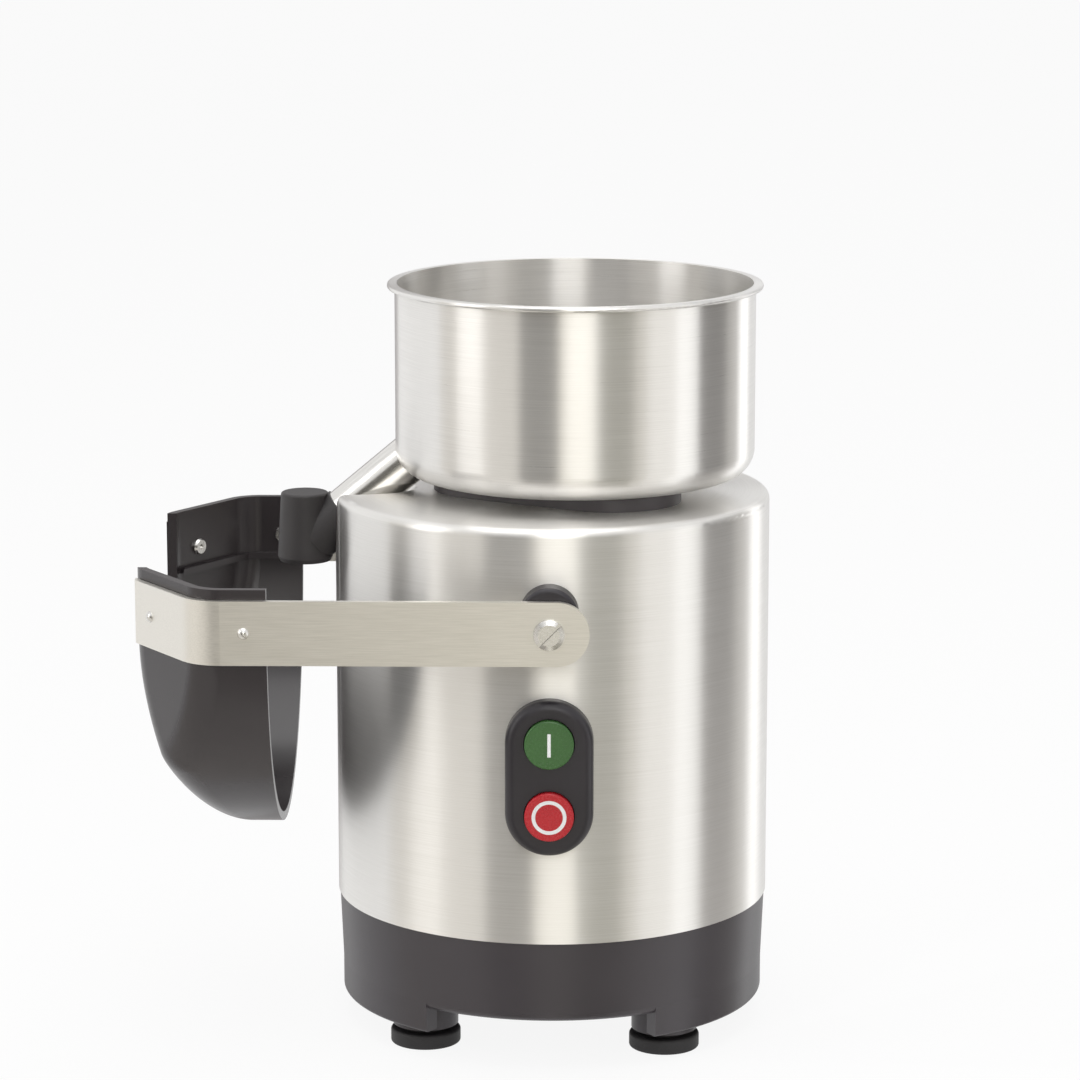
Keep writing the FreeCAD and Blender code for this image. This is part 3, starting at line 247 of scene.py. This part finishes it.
screwLook = {"stretch": (700.0, 700.0, 700.0), "dark": (0.62, 0.61, 0.59), "light": (0.78, 0.77, 0.75),
             "rough": (0.20, 0.30), "bump": 0.02}
trayLook = {"grain": 1800.0, "cloud": 14.0, "dark": (0.040, 0.034, 0.039), "light": (0.050, 0.043, 0.049),
            "rough": (0.33, 0.40), "bump": 0.05}
seatLook = {"grain": 1800.0, "cloud": 20.0, "dark": (0.072, 0.064, 0.069), "light": (0.090, 0.081, 0.086),
            "rough": (0.38, 0.46), "bump": 0.05}
guardLook = {"grain": 1400.0, "cloud": 16.0, "dark": (0.028, 0.023, 0.025), "light": (0.038, 0.032, 0.034),
             "rough": (0.24, 0.27), "bump": 0.006}
panelLook = {"grain": 1600.0, "cloud": 18.0, "dark": (0.018, 0.015, 0.019), "light": (0.025, 0.021, 0.027),
             "rough": (0.34, 0.42), "bump": 0.04}
tipLook = {"grain": 2200.0, "cloud": 30.0, "dark": (0.026, 0.023, 0.024), "light": (0.038, 0.034, 0.035),
           "rough": (0.48, 0.58), "bump": 0.07}
rubberLook = {"grain": 2400.0, "cloud": 40.0, "dark": (0.014, 0.013, 0.014), "light": (0.024, 0.022, 0.023),
              "rough": (0.55, 0.68), "bump": 0.10}
greenLook = {"grain": 900.0, "cloud": 25.0, "dark": (0.036, 0.112, 0.026), "light": (0.046, 0.138, 0.034),
             "rough": (0.24, 0.30), "bump": 0.015}
redLook = {"grain": 900.0, "cloud": 25.0, "dark": (0.46, 0.008, 0.016), "light": (0.53, 0.013, 0.023),
           "rough": (0.24, 0.30), "bump": 0.015}
markLook = {"grain": 900.0, "cloud": 25.0, "dark": (0.80, 0.80, 0.79), "light": (0.88, 0.88, 0.87),
            "rough": (0.35, 0.42), "bump": 0.01}
castingLook = {"grain": 900.0, "cloud": 40.0, "dark": (0.50, 0.50, 0.51), "light": (0.62, 0.62, 0.63),
               "rough": (0.45, 0.60), "bump": 0.15, "metallic": 1.0}
ironLook = {"stretch": (60.0, 60.0, 2000.0), "dark": (0.22, 0.22, 0.23), "light": (0.34, 0.34, 0.35),
            "rough": (0.35, 0.50), "bump": 0.2}
copperLook = {"fine": 1400.0, "dark": (0.55, 0.20, 0.08), "light": (0.75, 0.33, 0.16),
              "rough": (0.28, 0.40), "bump": 0.3}
brassLook = {"stretch": (900.0, 120.0, 900.0), "dark": (0.62, 0.45, 0.18), "light": (0.75, 0.58, 0.28),
             "rough": (0.25, 0.35), "bump": 0.02}

finishes = {
    "casing": turnedSteel("casingSteel", housingMiddle.x, casingLook),
    "bowl": turnedSteel("bowlSteel", shaftMiddle.x, bowlLook),
    "tube": straightSteel("spoutSteel", tubeLook),
    "strap": straightSteel("strapSteel", strapLook),
    "shaft": turnedSteel("shaftSteel", shaftMiddle.x, shaftLook),
    "disc": turnedSteel("discSteel", shaftMiddle.x, discLook),
    "screw": straightSteel("screwSteel", screwLook),
    "tray": moulded("trayPlastic", trayLook),
    "seat": moulded("seatPlastic", seatLook),
    "guard": moulded("guardPlastic", guardLook),
    "panel": moulded("panelPlastic", panelLook),
    "tip": moulded("tipPlastic", tipLook),
    "rubber": moulded("footRubber", rubberLook),
    "green": moulded("greenButton", greenLook),
    "red": moulded("redButton", redLook),
    "mark": moulded("markWhite", markLook),
    "casting": moulded("motorCasting", castingLook),
    "iron": straightSteel("coreIron", ironLook),
    "copper": turnedSteel("windingCopper", shaftMiddle.x, copperLook),
    "brass": straightSteel("bushBrass", brassLook),
}
dressing = {
    "casing": ["housing"],
    "bowl": ["juice_bowl", "bowl_collar"],
    "tube": ["spout_tube"],
    "strap": ["guard_arm_left", "guard_arm_right", "pivot_washers"],
    "shaft": ["drive_shaft"],
    "disc": ["seat_discs", "shaft_cover_disc"],
    "tray": ["base_tray", "cord_gland", "cooling_fan"],
    "seat": ["hub_plate"],
    "guard": ["splash_guard"],
    "panel": ["control_panel", "pivot_boss_left", "pivot_boss_right", "switch_block"],
    "tip": ["drip_tip"],
    "rubber": ["foot_front_left", "foot_front_right", "foot_rear_left", "foot_rear_right", "shaft_seal"],
    "green": ["start_button"],
    "red": ["stop_button"],
    "casting": ["motor_top_shield", "motor_bottom_shield", "capacitor"],
    "iron": ["stator_core", "rotor"],
    "copper": ["stator_windings"],
    "brass": ["pivot_bush_left", "pivot_bush_right"],
}
dressed = {name: finish for finish, names in dressing.items() for name in names}
for name, item in nodes.items():
    item.data.materials.clear()
    item.data.materials.append(finishes[dressed.get(name, "screw")])
print("materials set:", len(finishes))


def finishPiece(mesh, name, finish, body):
    bmesh.ops.remove_doubles(mesh, verts=mesh.verts, dist=1e-6)
    bmesh.ops.recalc_face_normals(mesh, faces=mesh.faces)
    data = bpy.data.meshes.new(name)
    mesh.to_mesh(data)
    mesh.free()
    data.materials.append(finishes[finish])
    item = bpy.data.objects.new(name, data)
    bpy.context.scene.collection.objects.link(item)
    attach(item, body)
    return item


# printed bar on the start button
startMark = {"width": 0.0015, "height": 0.0105, "thick": 0.00012, "edge": 0.00005}
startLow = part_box("start_button")[0]
startMiddle = middleOf("start_button")
bar = bmesh.new()
bmesh.ops.create_cube(bar, size=1.0)
bmesh.ops.scale(bar, vec=(startMark["width"], 2 * startMark["thick"], startMark["height"]), verts=bar.verts)
bmesh.ops.translate(bar, vec=(startMiddle.x, startLow[1], startMiddle.z), verts=bar.verts)
bmesh.ops.bevel(bar, geom=bar.edges[:], offset=startMark["edge"], affect="EDGES", segments=1,
                profile=0.5, material=-1)
startBar = finishPiece(bar, "start_mark", "mark", "start")

# printed ring on the stop button
stopMark = {"radius": 0.0069, "stroke": 0.0016, "thick": 0.00012, "steps": 64}
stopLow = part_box("stop_button")[0]
stopMiddle = middleOf("stop_button")
ring = bmesh.new()
inner = stopMark["radius"] - stopMark["stroke"] / 2
outer = stopMark["radius"] + stopMark["stroke"] / 2
face = stopLow[1]
corners = [(inner, face + stopMark["thick"]), (outer, face + stopMark["thick"]),
           (outer, face - stopMark["thick"]), (inner, face - stopMark["thick"])]
loop = [ring.verts.new((stopMiddle.x + r, y, stopMiddle.z)) for r, y in corners]
edges = [ring.edges.new((loop[i - 1], loop[i])) for i in range(4)]
bmesh.ops.spin(ring, geom=loop + edges, cent=stopMiddle, axis=(0, 1, 0), angle=2 * math.pi,
               steps=stopMark["steps"], use_merge=True)
stopRing = finishPiece(ring, "stop_mark", "mark", "stop")
print("button marks made")

# camera fitted to the photograph
cameraSet = {"azimuth": 0.9, "elevation": 11.401, "distance": 1.868487, "lens": 134.761, "sensor": 36.0,
             "far": 20.0, "target": (housingMiddle.x - 0.005697, 0.0, 0.22438)}
azimuth, elevation = math.radians(cameraSet["azimuth"]), math.radians(cameraSet["elevation"])
towards = Vector((math.sin(azimuth) * math.cos(elevation), -math.cos(azimuth) * math.cos(elevation),
                  math.sin(elevation)))
cameraData = bpy.data.cameras.new("photoCamera")
cameraData.sensor_width = cameraSet["sensor"]
cameraData.lens = cameraSet["lens"]
cameraData.clip_end = cameraSet["far"]
camera = bpy.data.objects.new("photoCamera", cameraData)
bpy.context.scene.collection.objects.link(camera)
camera.location = Vector(cameraSet["target"]) + cameraSet["distance"] * towards
camera.rotation_euler = towards.to_track_quat("Z", "Y").to_euler()
bpy.context.scene.camera = camera


def seenRays(tree):
    path = tree.nodes.new("ShaderNodeLightPath")
    bent = mathNode(tree, "MAXIMUM", path.outputs["Is Glossy Ray"], path.outputs["Is Transmission Ray"])
    return mathNode(tree, "MAXIMUM", path.outputs["Is Camera Ray"], bent)


# floor that stays white to the eye and keeps a soft shadow
floorSet = {"size": 12.0, "drop": 0.0002, "white": (0.92, 0.92, 0.92, 1), "rough": 0.9, "veil": 0.90}
floorMesh = bmesh.new()
bmesh.ops.create_grid(floorMesh, x_segments=2, y_segments=2, size=floorSet["size"])
floorData = bpy.data.meshes.new("floor")
floorMesh.to_mesh(floorData)
floorMesh.free()
floor = bpy.data.objects.new("floor", floorData)
bpy.context.scene.collection.objects.link(floor)
floor.location.z = -floorSet["drop"]
floorPaint = bpy.data.materials.new("floorWhite")
floorPaint.use_nodes = True
floorTree = floorPaint.node_tree
floorTree.nodes["Principled BSDF"].inputs["Base Color"].default_value = floorSet["white"]
floorTree.nodes["Principled BSDF"].inputs["Roughness"].default_value = floorSet["rough"]
glow = addNode(floorTree, "ShaderNodeEmission", Strength=1.0)
veil = floorTree.nodes.new("ShaderNodeMixShader")
floorTree.links.new(mathNode(floorTree, "MULTIPLY", seenRays(floorTree), floorSet["veil"]), veil.inputs[0])
floorTree.links.new(floorTree.nodes["Principled BSDF"].outputs[0], veil.inputs[1])
floorTree.links.new(glow.outputs[0], veil.inputs[2])
floorTree.links.new(veil.outputs[0], floorTree.nodes["Material Output"].inputs["Surface"])
floorData.materials.append(floorPaint)

# world: white to the eye and in metal, softer as a light
worldSet = {"light": 0.55}
world = bpy.data.worlds.new("studio")
bpy.context.scene.world = world
world.use_nodes = True
sky = world.node_tree
strength = sky.nodes.new("ShaderNodeMapRange")
strength.inputs["To Min"].default_value = worldSet["light"]
strength.inputs["To Max"].default_value = 1.0
sky.links.new(seenRays(sky), strength.inputs["Value"])
sky.nodes["Background"].inputs["Color"].default_value = (1, 1, 1, 1)
sky.links.new(strength.outputs[0], sky.nodes["Background"].inputs["Strength"])


# tinted wedges of floor and wall that only mirrors see, as the dim and bright corners of a studio;
# their edges follow a glance off the casing, so its bands stand upright
def addWedge(name, wedge):
    centre = Vector((housingMiddle.x, 0, wedgeSet["lift"]))
    low, high = map(math.radians, wedge["span"])
    mesh = bmesh.new()
    bmesh.ops.create_grid(mesh, x_segments=wedgeSet["steps"], y_segments=2, size=1.0)
    for point in mesh.verts:
        at = low + (high - low) * (point.co.x + 1) / 2
        side = round(point.co.y)  # -1 at the casing, 0 at the foot of the wall, 1 at its top
        point.co = centre + wedgeSet["inner"] * Vector((math.sin(at), -math.cos(at), 0))
        view = camera.location - point.co
        out = 2 * at - math.atan2(view.x, -view.y)
        if side >= 0:
            point.co += wedgeSet["outer"] * Vector((math.sin(out), -math.cos(out), 0))
        if side > 0:
            point.co.z += wedgeSet["wall"]
    data = bpy.data.meshes.new(name)
    mesh.to_mesh(data)
    mesh.free()
    paint = bpy.data.materials.new(name)
    paint.use_nodes = True
    tree = paint.node_tree
    place = tree.nodes.new("ShaderNodeTexCoord")
    away = tree.nodes.new("ShaderNodeVectorMath")
    away.operation = "DISTANCE"
    away.inputs[1].default_value = centre
    tree.links.new(place.outputs["Object"], away.inputs[0])
    fade = tree.nodes.new("ShaderNodeMapRange")
    fade.inputs["From Min"].default_value, fade.inputs["From Max"].default_value = wedgeSet["fade"]
    fade.inputs["To Min"].default_value, fade.inputs["To Max"].default_value = wedge["tone"]
    tree.links.new(away.outputs["Value"], fade.inputs["Value"])
    shine = tree.nodes.new("ShaderNodeEmission")
    shine.inputs["Color"].default_value = (*wedge["tint"], 1)
    tree.links.new(fade.outputs[0], shine.inputs["Strength"])
    tree.links.new(shine.outputs[0], tree.nodes["Material Output"].inputs["Surface"])
    data.materials.append(paint)
    item = bpy.data.objects.new(name, data)
    bpy.context.scene.collection.objects.link(item)
    item.visible_camera = False
    item.visible_diffuse = False
    item.visible_shadow = False


wedgeSet = {"inner": 0.104, "outer": 5.0, "wall": 2.4, "lift": 0.0004, "steps": 6, "fade": (0.35, 1.2)}
wedges = {  # degrees round the casing from the camera, tone near and far, tint
    "wedgeLeftEdge": {"span": (-88, -76), "tone": (0.60, 0.45), "tint": (1.0, 0.97, 0.97)},
    "wedgeLeft": {"span": (-46, -16.8), "tone": (0.86, 0.72), "tint": (1.0, 0.96, 0.89)},
    "wedgeLeftDark": {"span": (-16.8, -4.2), "tone": (0.38, 0.12), "tint": (1.0, 0.94, 0.83)},
    "wedgeFront": {"span": (-4.2, 7), "tone": (0.90, 0.88), "tint": (1.0, 0.96, 0.85)},
    "wedgeFrontWarm": {"span": (7, 19.3), "tone": (0.40, 0.28), "tint": (1.0, 0.96, 0.80)},
    "wedgeFrontPale": {"span": (19.3, 23.5), "tone": (0.72, 0.66), "tint": (1.0, 0.96, 0.86)},
    "wedgeRight": {"span": (23.5, 33.8), "tone": (1.05, 1.02), "tint": (1.0, 0.98, 0.94)},
    "wedgeRightWhite": {"span": (33.8, 42.2), "tone": (1.4, 1.4), "tint": (1.0, 1.0, 0.99)},
    "wedgeRightDark": {"span": (42.2, 55.5), "tone": (0.44, 0.14), "tint": (1.0, 0.95, 0.91)},
    "wedgeRightPale": {"span": (55.5, 63.5), "tone": (0.62, 0.46), "tint": (1.0, 0.97, 0.92)},
    "wedgeRightEdge": {"span": (63.5, 71), "tone": (1.6, 1.6), "tint": (1.0, 1.0, 1.0)},
    "wedgeRightRim": {"span": (71, 88), "tone": (0.86, 0.82), "tint": (1.0, 1.0, 1.0)},
}
for name, wedge in wedges.items():
    addWedge(name, wedge)


lampTarget = Vector((housingMiddle.x, 0, 0.2))


def addLamp(name, lamp):
    data = bpy.data.lights.new(name, "AREA")
    data.shape = "RECTANGLE"
    data.size, data.size_y = lamp["size"]
    data.energy = lamp["watts"]
    item = bpy.data.objects.new(name, data)
    bpy.context.scene.collection.objects.link(item)
    item.location = lamp["spot"]
    aim = Vector(lamp["spot"]) - lampTarget
    item.rotation_euler = aim.to_track_quat("Z", "Y").to_euler()


lamps = {
    "lampTop": {"size": (1.6, 1.6), "watts": 16.0, "spot": (0.0, -0.2, 2.2)},
    "lampFront": {"size": (0.9, 1.4), "watts": 9.0, "spot": (0.25, -2.2, 1.2)},
    "lampSide": {"size": (0.8, 1.6), "watts": 8.0, "spot": (-2.0, -0.8, 1.0)},
}
for name, lamp in lamps.items():
    addLamp(name, lamp)
bpy.context.scene.view_settings.view_transform = "Standard"
print("stage, camera and lamps set")
